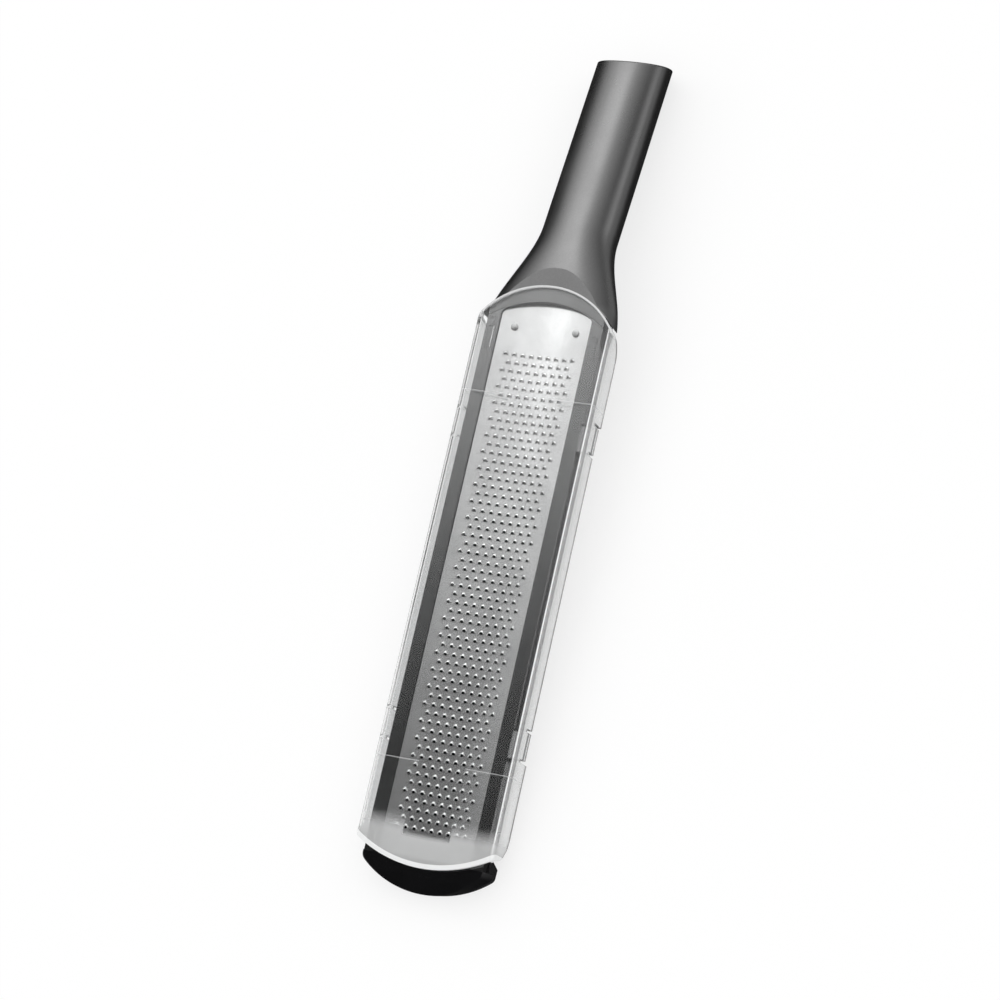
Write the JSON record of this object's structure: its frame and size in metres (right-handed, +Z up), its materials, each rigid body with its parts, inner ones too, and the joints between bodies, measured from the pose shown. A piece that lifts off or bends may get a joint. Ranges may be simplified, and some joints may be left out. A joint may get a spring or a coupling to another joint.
{
  "type": "rasp zester",
  "caption": "Hand rasp with a hollow stainless blade of fine raised teeth, a dark frame, a bent oval grip and a clear cover that snaps over the blade.",
  "frame": {"origin": "middle of the bounding box at the resting plane, under the toe foot and the handle's end", "axes": "+Z up, +Y from the toe to the handle's end, +X across the blade; the blade plane rises 5.49 degrees towards the handle"},
  "size_m": [0.0518, 0.3306, 0.0356],
  "materials": {
    "blade_steel": "satin sheet steel, bright at the teeth",
    "pin_steel": "satin",
    "frame_plastic": "satin, fine grain",
    "toe_gloss": "gloss",
    "screw_steel": "plain",
    "foot_rubber": "matte",
    "handle_satin": "satin anthracite coat",
    "core_plastic": "plain",
    "plug_plastic": "fine grain",
    "seal_rubber": "matte",
    "cover_clear": "clear, frosted towards both ends"
  },
  "bodies": {
    "tool": {"blade": "blade_steel", "blade_pins": "pin_steel", "frame": "frame_plastic", "toe_cap": "toe_gloss", "toe_screws": "screw_steel", "toe_foot": "foot_rubber", "handle_shell": "handle_satin", "handle_core": "core_plastic", "neck_screws": "screw_steel", "end_plug": "plug_plastic", "plug_seal": "seal_rubber"},
    "cover": {"clear_cover": "cover_clear"}
  },
  "joints": [
    {"name": "cover_lift", "type": "slide", "parent": "tool", "child": "cover", "axis": [0, -0.0957, 0.9954], "range_m": [0, 0.04]}
  ]
}
